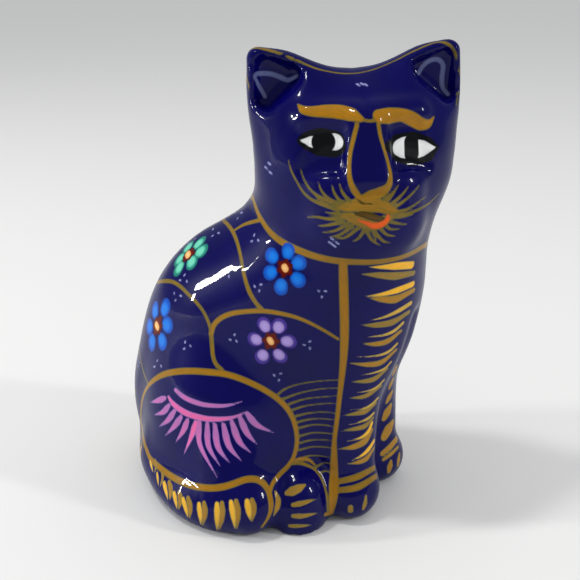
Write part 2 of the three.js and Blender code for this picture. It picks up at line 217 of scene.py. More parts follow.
def head(p):
    q = in_head(p)
    pair = q * np.where(q[:, :1] < 0, (-1, 1, 1), (1, 1, 1))
    skull = join(ellipsoid(q, **SKULL), round_cone(pair, **TEMPLE), TEMPLE_BLEND)
    skull = join(skull, ellipsoid(q, **JOWL), JOWL_BLEND)
    ears = join(plate(pair, **EAR), ellipsoid(pair, **EAR_FOOT), EAR_BLEND)
    whole = face_relief(join(skull, ears, EAR_BLEND), q, pair)
    return scoop(whole, plate(pair, **EAR_HOLLOW), EAR_HOLLOW_BLEND)


# The whole figure, and the mesh that it is drawn on. The casting's skin is smooth and even, so an
# even lattice is laid over the solid and moved onto the true surface, to reflect without facets.

GRAIN = 0.00135
SLOPE_STEP = 0.02
SETTLE_STEPS = 3
LEAST_SLOPE = 0.25
FLOOR_EDGE = 0.35
SAME_PLACE = 1e-6


def figure(p):
    d = limbs(join(trunk(p), head(p), HEAD_BLEND), p)
    d = scoop(d, round_cone(p, **CHEST_GROOVE), GROOVE_BLEND)
    d = join(join(d, round_cone(p, **SEAT), SEAT_BLEND), tail(p), TAIL_BLEND)
    return np.maximum(d, -SPARE_BASE - p[:, 2])


def slope(p):
    value = figure(p)
    rise = np.stack([figure(p + step) - value for step in np.eye(3) * SLOPE_STEP], axis=1)
    return value, rise / SLOPE_STEP


def coordinates(mesh):
    co = np.zeros(len(mesh.vertices) * 3)
    mesh.vertices.foreach_get("co", co)
    return co.reshape(-1, 3)


def settle(mesh):
    """Moves a mesh's vertices onto the true surface, apart from those of the flat base."""
    p = coordinates(mesh) / UNIT + MIDDLE
    free = p[:, 2] > FLOOR_EDGE
    for _ in range(SETTLE_STEPS):
        value, grad = slope(p[free])
        p[free] -= grad * (value / np.maximum((grad ** 2).sum(1), LEAST_SLOPE))[:, None]
    mesh.vertices.foreach_set("co", ((p - MIDDLE) * UNIT).ravel())
    mesh.update()


cat_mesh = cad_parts["cat"].data.copy()
cat_mesh.name = "glazed_cat"
bm = bmesh.new()
bm.from_mesh(cat_mesh)
bmesh.ops.remove_doubles(bm, verts=bm.verts, dist=SAME_PLACE)
bm.to_mesh(cat_mesh)
bm.free()
cat = bpy.data.objects.new("glazed_cat", cat_mesh)
bpy.context.scene.collection.objects.link(cat)
remesh = cat.modifiers.new("even_lattice", "REMESH")
remesh.mode, remesh.voxel_size = "VOXEL", GRAIN
lattice = bpy.data.meshes.new_from_object(cat.evaluated_get(bpy.context.evaluated_depsgraph_get()))
cat.modifiers.clear()
cat.data = lattice
settle(lattice)

# The painting. It is done by hand with small brushes in cold enamel over the fired cobalt, and
# sealed under a clear gloss. The strokes of the cat's right side are laid where the photograph
# shows them, in its own pixels, and those of its left side mirror them. Widths are in millimetres.

HALF_PHOTO = PHOTO_SIDE / 2
STEPS_PER_SPAN = 6
UNPAINTED_MM = 9
REACH_MM = 2.5
SAME_SIDE = 0.15
LEAST_SQUARE = 1e-12
NEAREST_TRIES = 4
USUAL_LOAD = 0.5
OUTSIDE = 0.4
MIRROR_X = -MIDDLE[0] * UNIT

skin = BVHTree.FromObject(cat, bpy.context.evaluated_depsgraph_get())
strokes = []


def on_glaze(u, v):
    """Where the glaze is seen in the photograph, or the nearest of it beside the outline."""
    ray = (ahead * FOCUS_PX + rightward * (u - HALF_PHOTO) - upward * (v - HALF_PHOTO)).normalized()
    hit = skin.ray_cast(EYE, ray)[0]
    if hit is None:
        hit = AIM
        for _ in range(NEAREST_TRIES):
            hit = skin.find_nearest(EYE + ray * (hit - EYE).dot(ray))[0]
    return hit


def on_back(x, z):
    """The glaze seen from straight behind, in mm from the cat's middle plane and from the ground."""
    return skin.ray_cast(Vector((MIRROR_X + x * MM, OUTSIDE, z * MM)), Vector((0, -1, 0)))[0]


def on_left(y, z):
    """The glaze seen from straight left of the cat, in mm."""
    return skin.ray_cast(Vector((OUTSIDE, y * MM, z * MM)), Vector((-1, 0, 0)))[0]


def mirrored(point):
    """The same place on the cat's other side."""
    return skin.find_nearest(Vector((2 * MIRROR_X - point.x, point.y, point.z)))[0]


def lay(layer, points, widths, load, wrap, hidden=False):
    """Notes one stroke on the glaze, its width in mm going from each given value to the next."""
    along = np.linspace(0, 1, len(points))
    radii = np.interp(along, np.linspace(0, 1, len(widths)), widths) * MM / 2
    line = np.array([tuple(p) for p in points])
    normals = np.array([tuple(skin.find_nearest(Vector(p))[1]) for p in line])
    strokes.append((layer, line, radii, normals, load, wrap, hidden))


def stroke(layer, places, widths, load=USUAL_LOAD, mirror=False, wrap=False, cut=False, on=on_glaze):
    """A brush stroke through places of the photograph, or of another view. A mirrored one is drawn on
    the other side as well, all of it, or cut to what the photograph doesn't show. A wrapped one
    goes round a thin rim. The load is how full the brush was, from 0 to 1."""
    points = [on(u, v) for u, v in smooth_line(places, STEPS_PER_SPAN)]
    lay(layer, points, widths, load, wrap)
    if mirror:
        lay(layer, [mirrored(p) for p in points], widths, load, wrap, cut)


def stroke_values(mesh):
    """Each layer's distance to the edge of its paint at every vertex, in mm and negative in the paint,
    and where the vertex lies in its stroke: across it, along it and with which load."""
    co = coordinates(mesh)
    normal = np.zeros(len(co) * 3)
    mesh.vertex_normals.foreach_get("vector", normal)
    normal = normal.reshape(-1, 3)
    unseen = ((np.array(EYE) - co) * normal).sum(1) < 0
    names = sorted({s[0] for s in strokes})
    values = {name: np.full(len(co), UNPAINTED_MM, float) for name in names}
    brush = {name: np.zeros((len(co), 3)) for name in names}
    for layer, line, radii, normals, load, wrap, hidden in strokes:
        margin = radii.max() + REACH_MM * MM
        near = ((co > line.min(0) - margin) & (co < line.max(0) + margin)).all(1)
        if hidden:
            near &= unseen
        near = np.flatnonzero(near)
        if not len(near):
            continue
        a, b = line[:-1], line[1:]
        span = b - a
        length = np.maximum((span ** 2).sum(1), LEAST_SQUARE)
        w = co[near][:, None] - a
        h = np.clip((w * span).sum(2) / length, 0, 1)
        off = w - h[..., None] * span
        gap = np.linalg.norm(off, axis=2) - (radii[:-1] + h * np.diff(radii))
        best = gap.argmin(1)
        pick = np.arange(len(near))
        d = gap[pick, best] / MM
        same = (normals[best] * normal[near]).sum(1) > SAME_SIDE
        better = (d < values[layer][near]) & (same | wrap)
        to = near[better]
        values[layer][to] = d[better]
        along = np.append(0, np.cumsum(np.sqrt(length)))
        side = (np.cross(normals[best], span[best]) * off[pick, best]).sum(1) / np.sqrt(length[best])
        place = along[best] + h[pick, best] * np.sqrt(length[best])
        loads = np.full(better.sum(), load)
        brush[layer][to] = np.stack([side[better] / MM, place[better] / MM, loads], axis=1)
    return values, brush


# The gold bands that divide the body into panels: the collar, the lines over the back and flank,
# the ring on the haunch, the line on top of the tail, and the line down the front. A row of the
# table holds a line, its widths from end to end, and the load of paint.

COLLAR = [(253, 198), (256, 208), (261, 219), (270, 232), (282, 242), (298, 250), (316, 256.5),
          (335, 260.5), (355, 262), (375, 262), (395, 259), (412, 253), (427, 244)]
SHOULDER_LINE = [(223, 220), (229, 226), (234, 234), (238, 245), (241, 258), (243, 270), (246, 282),
                 (250, 293), (256, 303), (262, 309)]
SHOULDER_LINK = [(233, 231), (243, 225), (252, 222), (260, 220)]
BACK_LINE = [(157, 282), (165, 281), (173, 282), (181, 287), (188, 294), (196, 302), (203, 311),
             (208, 321), (211, 331)]
FLANK_LINE = [(211, 334), (214, 325), (221, 318), (232, 313.5), (246, 311.5), (262, 311), (278, 313),
              (295, 317), (310, 323), (325, 331), (338, 339)]
FLANK_DROP = [(211, 332), (212, 345), (213, 356), (216, 364), (222, 370)]
HAUNCH_RING = [(148, 455), (144, 440), (141, 420), (142, 401), (148, 386), (160, 376), (174, 372),
               (190, 371), (208, 372), (225, 374), (240, 378.5), (255, 385), (268, 392), (279, 400),
               (289, 411), (295, 425), (297, 441), (294, 456), (288, 466), (280, 474), (273, 483),
               (270, 492)]
TAIL_LINE = [(146, 448), (150, 458), (158, 466), (168, 474), (180, 481), (194, 486), (209, 488),
             (222, 487), (233, 484), (244, 480), (253, 479), (261, 481.5), (267, 488), (270, 497),
             (271, 508), (268, 518), (262, 527)]
HIND_PAW_LINE = [(291, 463), (300, 463), (311, 467), (318, 473), (323, 482), (326, 492), (327.5, 502),
                 (328, 513)]
FRONT_LINE = [(343, 262), (343.5, 280), (344, 300), (344.5, 330), (344, 350), (342.5, 370), (340, 393),
              (337, 420), (334.5, 440), (334, 463), (334, 485), (333, 500), (330.5, 517)]
PAW_BANDS = [[(339, 481.5), (358, 476.5), (374.5, 467.5)], [(338, 490.5), (358, 487), (376.5, 476)]]
SPINE_EDGE = [(135, 322), (137, 334), (138.5, 346), (140.5, 359), (143.5, 372), (148, 384)]
FRONT_LINK = [(292, 462), (300, 459), (309, 460), (316, 466)]
TAIL_END = [(275.5, 492), (278, 500), (277, 508), (273.5, 516)]
BANDS = [(COLLAR, [2, 2.3, 2.7, 2.8, 2.6, 2.4], 0.5),
         (SHOULDER_LINE, [1.4, 1.7, 1.6, 2, 1.6], 0.35),
         (SHOULDER_LINK, [1.3, 1.6, 1.6], 0.45),
         (BACK_LINE, [1.8, 1.5, 1.5], 0.25),
         (FLANK_LINE, [2.2, 2.1, 1.9, 1.8, 1.5, 1.2], 0.6),
         (FLANK_DROP, [2, 1.8, 1.6], 0.3),
         (HAUNCH_RING, [1.8, 1.8, 2.6, 2.6, 2.4, 2.2, 1.9, 1.9, 1.8], 0.6),
         (SPINE_EDGE, [0.9, 1, 1.1, 1], 0.1),
         (FRONT_LINK, [0.8, 1.8, 1.4, 0.8], 0.8),
         (HIND_PAW_LINE, [1.8, 1.2, 1.1, 1.2], 0.35),
         (FRONT_LINE, [3, 3.3, 3.3, 3.3, 3, 2.5, 2, 1.8, 1.8, 3, 4, 3.3, 1.6], 0.7)]
PAW_BAND_WIDTHS, PAW_BAND_LOAD = [2.2, 2.7, 2.2], 0.4
TAIL_LINE_WIDTHS, TAIL_LINE_LOAD = [2.2, 2.6, 2.7, 2.7, 2.6, 2.9, 2.6, 1.4], 0.6
TAIL_END_WIDTHS = [1.2, 2.2, 2.2, 0.6]

for line, widths, load in BANDS:
    stroke("gold", line, widths, load, mirror=True)
stroke("gold", TAIL_LINE, TAIL_LINE_WIDTHS, TAIL_LINE_LOAD)
stroke("leaf", TAIL_END, TAIL_END_WIDTHS)
for line in PAW_BANDS:
    stroke("gold", line, PAW_BAND_WIDTHS, PAW_BAND_LOAD, mirror=True, cut=True)

# The finer olive lines: the hatching between the haunch and the front line, drawn with a thin
# brush and thin paint, so the blue shows through.

HATCHING = [
    [(275, 397), (285, 389), (300, 384), (320, 381), (339, 380)],
    [(283, 399), (300, 393), (320, 389), (338, 388)], [(289, 404), (305, 399), (322, 397), (337, 396)],
    [(292, 410), (305, 406), (320, 404), (336, 403)], [(296, 416), (310, 413), (325, 412), (335, 413)],
    [(298, 422), (312, 419), (325, 419), (334, 420)], [(299, 428), (312, 425), (325, 425), (333, 427)],
    [(300, 436), (312, 433), (325, 433), (332, 434)], [(300, 443), (312, 440), (325, 440), (331, 441)],
    [(299, 450), (312, 447), (325, 447), (331, 448)], [(297, 460), (308, 456), (320, 456), (331, 458)],
    [(316, 467), (324, 463), (331, 464)], [(319, 474), (325, 471), (331, 473)]]
HATCH_WIDTHS, HATCH_LOAD = [1.1, 0.9, 0.7, 0.7, 0.4], 0.1
for line in HATCHING:
    stroke("gold", line, HATCH_WIDTHS, HATCH_LOAD, mirror=True)

# The feathering down the chest and the leaves on the legs, paws and tail. Each is one press of a
# loaded brush; on the feathers and the tail's leaves a second, brighter press of yellow lies over part
# of it.

FEATHERS = [
    ([(412, 265), (396, 266), (381, 267), (368, 267)], 3,
     [(414, 273), (396, 276), (378, 275), (360, 274)], 3.2),
    ([(413, 284), (398, 290), (381, 294.5), (362, 297)], 2.4,
     [(414, 290), (396, 299), (381, 299), (369, 298)], 3.2),
    ([(411, 303), (400, 310), (386, 316.5), (369, 321)], 1.8,
     [(409, 312), (393, 322), (376, 325), (360, 325)], 2.9),
    ([(403, 323), (394, 331), (382, 335.5), (365, 337)], 1.5,
     [(401, 331), (388, 341), (375, 344), (361, 343.5)], 2.7),
    ([(397, 344), (388, 352), (375, 356), (356, 357)], 1.3,
     [(396, 350), (382, 362), (367, 364.5), (348, 363)], 2.8),
    ([(391, 362), (384, 369), (373, 373), (361, 375)], 1.2,
     [(387, 369), (376, 378), (366, 381), (349, 382)], 2.7),
    ([(384, 380), (377, 387), (368, 391), (357, 392.5)], 1.2,
     [(381, 386), (371, 393), (362, 397), (347, 398)], 2.4),
    ([(378, 398), (371, 405), (362, 409), (350, 410)], 1.2,
     [(376, 403), (366, 411), (356, 413.5), (342, 416)], 2.4),
    ([(374, 413), (368, 418.5), (360, 422), (348, 425)], 1.2,
     [(373, 418), (365, 426), (354, 429), (340, 431)], 2.3),
    ([(372, 423), (368, 432), (360, 438), (346, 441.5)], 1.8,
     [(372, 430), (365, 441), (353, 447), (338, 449)], 3.2),
    ([(374, 441), (368, 450), (361, 456), (351, 461)], 2,
     [(374, 448), (367, 458), (359, 462), (347, 464)], 2.6)]
FULL, SPARE = 0.6, 0.3
LOWER_LOADS = [SPARE, FULL, SPARE, FULL, FULL, SPARE, SPARE, SPARE, SPARE, FULL, FULL]
BRIGHT, DULL = 0.9, 0.35
UPPER_LOADS = [BRIGHT, BRIGHT] + [DULL] * 7 + [BRIGHT, BRIGHT]
LOWER_PRESS, LOWER_TIP = (0.6, 1, 0.75), 0.15
UPPER_PRESS, UPPER_TIP = (1, 1.1, 0.6), 0.1


def pressed(wide, press, tip):
    """The widths along one press of the brush: shares of its widest part, and then the tip."""
    return [wide * share for share in press] + [tip]


for (upper, thin, lower, wide), lower_load, upper_load in zip(FEATHERS, LOWER_LOADS, UPPER_LOADS):
    stroke("leaf", lower, pressed(wide, LOWER_PRESS, LOWER_TIP), lower_load, mirror=True, cut=True)
    stroke("straw", upper, pressed(thin, UPPER_PRESS, UPPER_TIP), upper_load, mirror=True, cut=True)

TAIL_LEAVES = [((150, 461), (153, 472)), ((157, 473), (158.5, 486)), ((164, 483), (168, 500)),
               ((174, 493), (177, 509)), ((183, 499), (188, 518)), ((199, 504), (201, 525)),
               ((217, 504), (217, 531)), ((231, 502), (235, 529)), ((247, 501), (250.5, 521))]
TAIL_LEAF_WIDTHS = [1.6] * 2 + [2.6] * 7
MIDDLE_SHARE = 0.4
UNDER_LEAF = [(5, -1), (5, 0), (1.5, 1)]
TAIL_LEAF_PRESS, TAIL_STRAW_PRESS, TAIL_LEAF_TIP = (0.7, 1, 0.9), (0.7, 0.95, 0.8), 0.3
STRAW_LOAD = 0.7
for (top, tip), wide in zip(TAIL_LEAVES, TAIL_LEAF_WIDTHS):
    middle = tuple(a * (1 - MIDDLE_SHARE) + b * MIDDLE_SHARE for a, b in zip(top, tip))
    spine = [top, middle, tip]
    under = [(x + across, y + down) for (x, y), (across, down) in zip(spine, UNDER_LEAF)]
    stroke("leaf", under, pressed(wide, TAIL_LEAF_PRESS, TAIL_LEAF_TIP))
    stroke("straw", spine, pressed(wide, TAIL_STRAW_PRESS, TAIL_LEAF_TIP), STRAW_LOAD)

PAW_LEAVES = [([(287, 493), (295, 490), (305, 485)], [2, 3.6, 3.2, 1]),
              ([(293, 505), (303, 503), (316, 499)], [1.6, 2.2, 1.6, 0.3]),
              ([(293, 516), (303, 516), (318, 513)], [1.6, 2.2, 1.6, 0.3]),
              ([(290, 526), (300, 526), (312, 525)], [1.6, 1.9, 1.4, 0.3]),
              ([(350.5, 507), (350.5, 511)], [2, 2.2]),
              ([(366, 496), (365, 504), (363.5, 509)], [1, 2.2, 1.4])]
PAW_LEAF_LOAD, FAR_LEAF_LOAD = 0.4, 0.6
for line, widths in PAW_LEAVES:
    stroke("leaf", line, widths, PAW_LEAF_LOAD, mirror=True)

FAR_LEG_LEAVES = [([(396.5, 366), (393, 375)], [1.6, 2.8, 1.6]),
                  ([(393, 379), (389.5, 388)], [2, 3.2, 1.8]),
                  ([(392, 392), (387, 402)], [2.2, 3.6, 2]),
                  ([(390.5, 406), (384.5, 418)], [2.8, 4.8, 3]),
                  ([(392.5, 423), (385, 436)], [3.4, 5.6, 4.4]),
                  ([(396.5, 439), (390, 447), (382.5, 453.5)], [2.6, 2.8, 2.4]),
                  ([(398, 447), (391, 454), (383.5, 459.5)], [1.4, 1.8, 1.6]),
                  ([(391, 461), (389, 472)], [1.4, 3, 1.8]),
                  ([(399.5, 454), (398, 465)], [1.6, 2.8, 1.8])]
for line, widths in FAR_LEG_LEAVES:
    stroke("leaf", line, widths, FAR_LEAF_LOAD)

# The flowers: six petals pressed round a maroon heart with a cream dot in it. One is turquoise,
# one purple with lilac hearts to its petals, and two are blue.

FLOWERS = [
    ("blue", (285, 268),
     [(272, 256), (288, 251.5), (298.5, 263), (297.5, 279.5), (281, 286.5), (270.5, 272.5)], 2.6),
    ("blue", (157, 326),
     [(155, 310.5), (165, 308), (149.5, 326.5), (167, 325), (152, 342), (162, 341)], 3.2),
    ("purple", (270.5, 341),
     [(264.5, 325.5), (279, 326.5), (288, 341.5), (279.5, 355.5), (262.5, 356), (255.5, 339.5)], 2.7),
    ("teal", (188, 254.5),
     [(199, 243), (201, 251), (191.5, 262), (179, 268), (179.5, 259), (188, 247)], 3)]
INNER = dict(blue="sky", purple="lilac", teal="mint")
OUTER_SPAN, OUTER_WIDTHS = (0.93, 1.07), (1.9, 2.1)
INNER_SPAN, INNER_WIDTHS = (0.88, 0.97), (1.4, 1.55)
HEART_REACH, HEART_WIDTHS = 0.48, (1.8, 0.5)
SEED_ENDS, SEED_WIDTH = ((-0.6, -1), (0.4, 1)), 0.95


def flower(colour, centre, petals, wide, on=on_glaze):
    """A pressed flower. Spans are shares of the way from its centre to a petal's middle."""
    presses = ((colour, OUTER_SPAN, OUTER_WIDTHS), (INNER[colour], INNER_SPAN, INNER_WIDTHS))
    rays = [np.subtract(petal, centre) for petal in petals]
    seed = [np.add(centre, end) for end in SEED_ENDS]
    mirror = on is on_glaze
    for ray in rays:
        for layer, span, widths in presses:
            line = [centre + ray * share for share in span]
            stroke(layer, line, [wide * width for width in widths], mirror=mirror, on=on)
    for ray in rays:
        heart = [centre, centre + ray * HEART_REACH]
        stroke("maroon", heart, [wide * width for width in HEART_WIDTHS], mirror=mirror, on=on)
    stroke("cream", seed, [wide * SEED_WIDTH] * 2, mirror=mirror, on=on)


for colour, centre, petals, wide in FLOWERS:
    flower(colour, centre, petals, wide)

# The little pale blue dots, dabbed with the tip of the brush. They fill the panels in threes, and a
# few more stand on the cheek and below the chin. Three pale dabs on the crown are a painted highlight.

DOTS = [(214.7, 232.6), (254.7, 238.9), (183.8, 278.9), (226.9, 273.3), (258.2, 287.3), (322, 293),
        (176.8, 296.5), (186.6, 345.6), (157.6, 364.5), (233.7, 338.6), (308, 344.9), (277.9, 376.4),
        (237.9, 214.4)]
DAB_TURN, DAB_SPREAD_PX, DAB_WIDTHS = 2.4, 3.4, [0.9, 0.7]
DAB_LENGTH, DAB_BEND = 0.45, 0.6
# The first three lone dabs, on the crown, are a painted highlight; the others are dots on the cheek and
# chin.
CROWN_GLINT_AND_LONE_DABS = [(357, 84), (361, 83), (365, 84), (268, 162.6), (265, 167), (269.5, 172), (329, 242),
             (333, 245), (331, 238), (336, 242)]
LONE_STEP, LONE_WIDTHS = (2.4, 1.8), [0.9, 0.8]


def three_dabs(u, v, turn, spread, on=on_glaze):
    for k in range(3):
        a = turn + k * math.tau / 3
        start = (u + spread * math.cos(a), v + spread * math.sin(a))
        reach = spread * DAB_LENGTH
        end = (start[0] + reach * math.cos(a + DAB_BEND), start[1] + reach * math.sin(a + DAB_BEND))
        stroke("dots", [start, end], DAB_WIDTHS, mirror=on is on_glaze, on=on)


for i, (u, v) in enumerate(DOTS):
    three_dabs(u, v, i * DAB_TURN, DAB_SPREAD_PX)
# The lone dabs, with the painted highlight on the crown among them.
for x, y in CROWN_GLINT_AND_LONE_DABS:
    stroke("dots", [(x, y), (x + LONE_STEP[0], y + LONE_STEP[1])], LONE_WIDTHS)

# The pink fan on the haunch: two curved strokes and a row of lashes that hang from the lower one,
# hot pink where the brush was full and lilac where it ran dry.

FAN_TOP = [(175.4, 389.8), (181, 395), (187.3, 399), (196, 402.5), (206, 405), (221, 405.9),
           (232, 404.5), (242, 401.5)]
FAN_FOOT = [(168.4, 396.5), (172, 402.5), (178, 408), (186, 413), (196, 416.5), (209.8, 419),
            (226.6, 418.5), (237, 416), (245, 412)]
LASHES = [
    ([(165, 398), (158, 400.5), (150, 402.5)], 0.3), ([(169, 405.5), (163, 412), (154, 415)], 0.3),
    ([(174.5, 411), (168, 420), (158.6, 427)], 0.3), ([(181, 417), (174.5, 426), (165, 436)], 0.3),
    ([(187.5, 420.5), (183, 431), (175, 443)], 0.45), ([(195.8, 422), (191.5, 436), (183.5, 455)], 0.8),
    ([(199.5, 422), (200, 445), (217.5, 478)], 0.4), ([(207.2, 424), (208.5, 446), (220, 466)], 0.3),
    ([(214.8, 425), (218, 447), (230, 463.5)], 0.3), ([(223.5, 425), (229, 446), (241.4, 461)], 0.3),
    ([(232, 422.5), (239, 441), (251, 453)], 0.3), ([(240, 417.5), (247, 433), (257.5, 445)], 0.25),
    ([(247, 413.5), (257, 425), (274.3, 433)], 0.25)]
FAN = [(FAN_TOP, [1.6, 2, 2, 1.7, 1.2, 0.3], 0.35), (FAN_FOOT, [1.2, 2.4, 2.6, 2.5, 2, 1.2, 0.5], 0.7)]
LASH_WIDTHS = [1.7, 2.6, 2.2, 1.2, 0.2]
for line, widths, load in FAN:
    stroke("pink", line, widths, load, mirror=True)
for line, load in LASHES:
    stroke("pink", line, LASH_WIDTHS, load, mirror=True)

# The face. The brows and the sides of the nose are gold, the whiskers fan out from the mouth, the
# eyes are black almonds with white corners, and the lower lip is orange.

BROWS = [([(297.5, 104), (303, 109.5), (313, 111), (325, 110.5), (338, 111), (350, 114), (361, 119)],
          [0.5, 3, 3.9, 4.9, 5.4, 4.8, 2.2]),
         ([(380, 116), (390, 115.5), (402, 115), (412, 119), (421, 124), (429, 123.5), (434.5, 116)],
          [5, 5.6, 4.6, 4.9, 4.4, 3, 0.5])]
NOSE_LINES = [([(361, 119.5), (370, 121), (379, 119.5)], [1.2, 1.1, 1.2]),
              ([(357, 125), (353.5, 138), (350, 154), (349, 168), (350, 180), (354, 190), (360, 198)],
               [1.6, 1.8, 1.8, 1.8, 2, 2.4, 2]),
              ([(378.5, 124), (380.5, 136), (384.5, 150), (388.5, 164), (390.5, 176), (388.5, 186),
                (381, 192), (371, 195.5), (362, 197.5)],
               [1.5, 1.5, 1.4, 1.6, 2, 2.8, 3.8, 3.6, 1.8])]
WHISKERS = [
    [(335, 208.7), (315, 201.4), (304, 193), (296.5, 181), (291, 170), (288.3, 160)],
    [(338, 205), (319.4, 196.8), (310.3, 189.4), (304, 179.4), (300.6, 169.3)],
    [(341, 205), (328.6, 198.6), (321.3, 190.4), (318.2, 182)],
    [(345, 204), (338.7, 199.5), (334, 192.2), (332, 185)], [(350, 202), (342.4, 192.2), (339.6, 184)],
    [(338, 210), (327, 205), (319, 199.5), (314, 193)],
    [(342, 218.8), (327.7, 218.8), (316.7, 217), (307.5, 217)],
    [(344, 214.5), (335, 214.2), (325, 212.4)], [(343, 222), (327.7, 225.2), (317.6, 226.1)],
    [(348, 224), (335, 230.7), (322.2, 232.6)], [(352, 226), (340.6, 234.4), (329.5, 237.2)],
    [(358, 228), (346, 237.2), (335, 238.5)], [(364.4, 230), (358.9, 238), (352.5, 241.7)],
    [(366.2, 230), (371.7, 239.9), (380, 245.4)], [(373, 230), (382.8, 240.8), (390, 242.7)],
    [(380, 228), (386.4, 234.4), (394.7, 236.2)], [(384.6, 224), (390, 228.9), (399.3, 228.9)],
    [(388.3, 221), (397.4, 223.4), (406.6, 224.3)], [(388.3, 217), (401, 217), (413, 214.2)],
    [(390, 215), (408.4, 213.3), (426.8, 205), (439.6, 193)],
    [(390, 213), (408.4, 208.7), (426.8, 195.9)],
    [(388, 210), (401, 203.2), (412, 194), (419.4, 184.9)], [(387, 208), (401, 195.9), (408.4, 186.7)],
    [(384, 205), (392.8, 194), (398.3, 184.9)], [(380, 203), (389, 196), (395, 190)],
    [(372, 228), (374, 234), (375.5, 240.5)]]
MUZZLE = [([(338.5, 208), (348, 206.5), (358, 205), (367, 206), (378, 205.5), (390, 209), (398, 212)],
           [1.2, 3.4, 4.8, 4.6, 4.8, 3.8, 1.2], 0.45),
          ([(342, 215), (352, 218), (362, 222), (374, 225), (384, 221), (393, 215.5)],
           [1.6, 3.6, 4, 4.2, 3.8, 1.4], 0.4)]
MOUTH = [("mouth", [(354, 214), (362, 214.2), (371, 216.5), (379, 219), (384, 218.5)],
          [0.5, 2, 2.6, 2.2, 1]),
         ("mouth", [(357, 198.5), (362, 203), (372, 204)], [0.5, 0.9, 0.5]),
         ("lip", [(358, 220), (366, 223), (374, 226), (382, 224.3), (387.5, 219.5), (387.8, 215)],
          [0.5, 1.2, 2.2, 2.2, 1.6, 0.7])]
EYES = [("black", [(297, 140.5), (307, 140.5), (320.5, 142), (333, 144), (343, 147)],
         [0.6, 5.6, 9.2, 8.8, 3]),
        ("white", [(299.5, 140.6), (306, 141), (312.5, 141.8)], [0.2, 1.8, 3.9]),
        ("white", [(334.5, 142), (337, 142.5)], [5.6, 4.4]),
        ("pupil", [(322, 142), (324, 142)], [7.2, 7.6]),
        ("black", [(389, 147), (399, 147.5), (412.6, 149), (425, 149.5), (439, 147)],
         [4, 9, 11.4, 8.8, 0.8]),
        ("white", [(400, 147.5), (405, 147.5)], [5.6, 7.2]),
        ("white", [(436, 147.4), (428, 148), (420, 148.7)], [0.2, 3, 6]),
        ("pupil", [(411.3, 142), (411.7, 154)], [5.5, 5.5])]
BROW_LOAD, NOSE_LOAD = 0.75, 0.6
WHISKER_WIDTHS, WHISKER_LOAD = [1.6, 1.2, 1, 0.8, 0.5], 0.15

for line, widths in BROWS:
    stroke("gold", line, widths, BROW_LOAD)
for line, widths in NOSE_LINES:
    stroke("gold", line, widths, NOSE_LOAD)
for line in WHISKERS:
    stroke("gold", line, WHISKER_WIDTHS, WHISKER_LOAD)
for line, widths, load in MUZZLE:
    stroke("gold", line, widths, load)
for layer, line, widths in MOUTH + EYES:
    stroke(layer, line, widths)

# The ears: a grey line in each hollow, drawn in one stroke, and a thin line of gold that runs along
# both rims and over the crown between them.

EAR_LINES = [[(265, 96.5), (258, 84), (255, 75.5), (261, 73.5), (271, 74), (280, 77), (288, 80),
              (297, 76)],
             [(418.5, 73.5), (423, 66), (430, 60.5), (438, 59.5), (443, 65), (442, 77), (442.5, 87),
              (448, 94.5)]]
RIM = [(250, 92), (246, 72), (245, 55), (250, 48.5), (262, 48.5), (278, 53), (300, 62), (320, 69.5),
       (345, 73.5), (368, 71), (392, 62), (414, 51), (436, 42.5), (450, 45.5), (457, 60), (459, 82),
       (456, 105)]
EAR_LINE_WIDTHS = [1.4, 1.7, 1.7, 1.8, 1.4]
RIM_WIDTHS, RIM_LOAD = [0.8, 1.6, 2.2, 1.4, 1, 0.9, 1, 1.3, 1.2, 0.8], 0.3
for line in EAR_LINES:
    stroke("ear_grey", line, EAR_LINE_WIDTHS)
stroke("gold", RIM, RIM_WIDTHS, RIM_LOAD, wrap=True)

# The back and the far side, which the photograph doesn't show, are plainer: the lines run on
# round them, with one flower, a few leaves and dots. Places are in mm, seen from behind or from
# the left.

BACK_LINES = [([(-17, 120), (-9, 119), (0, 118.5), (9, 119), (17, 120)], [2, 2.2, 2]),
              ([(-5.5, 107), (0, 106.5), (5.5, 107)], [1.4, 1.4]),
              ([(-11, 80), (0, 78), (11, 80)], [1.8, 1.8]),
              ([(-13, 62), (-7, 58.8), (0, 57.6), (7, 58.8), (13, 62)], [1, 1.3, 1]),
              ([(-33, 17.7), (-22, 19.5), (-10, 20), (2, 20), (13, 19.5), (20, 16), (23.5, 9), (23, 3)],
               [1.8, 2.1, 1])]
FAR_RING_FOOT = [(40.5, 16.5), (30, 9.5), (12, 7), (-4, 8.5), (-12, 13), (-16, 17.5)]
BACK_FLOWER, PETALS, PETAL_REACH, PETAL_WIDTH = (0, 67.6), 6, 4.9, 2.5
BACK_DABS = [(0, 50), (-17, 46), (17, 47), (0, 92), (-10, 98), (11, 98)]
HEAD_DABS = [(-20, 150), (-8, 137), (-24, 133)]
DAB_SPREAD_MM = 1.2
ROOT_LEAVES = [(-16, 33, -11, 26), (-8, 36, -5.5, 27), (0, 37, 0, 27.5), (8, 36, 5.5, 27),
               (16, 33, 11, 26)]
ROW_FROM, ROW_TO, ROW_LEAVES = -29, 15, 7
ROW_LEAF, ROW_STRAW = [(1, 16), (1.2, 10), (0, 5)], [(0, 15), (0, 10), (0, 5.5)]
BACK_LOAD, FAR_RING_WIDTHS, ROOT_WIDTHS = 0.4, [1.8, 2, 1.8], [1.2, 2.6, 0.3]
ROW_LEAF_WIDTHS, ROW_STRAW_WIDTHS = [1.8, 2.6, 0.4], [1.4, 2, 0.3]

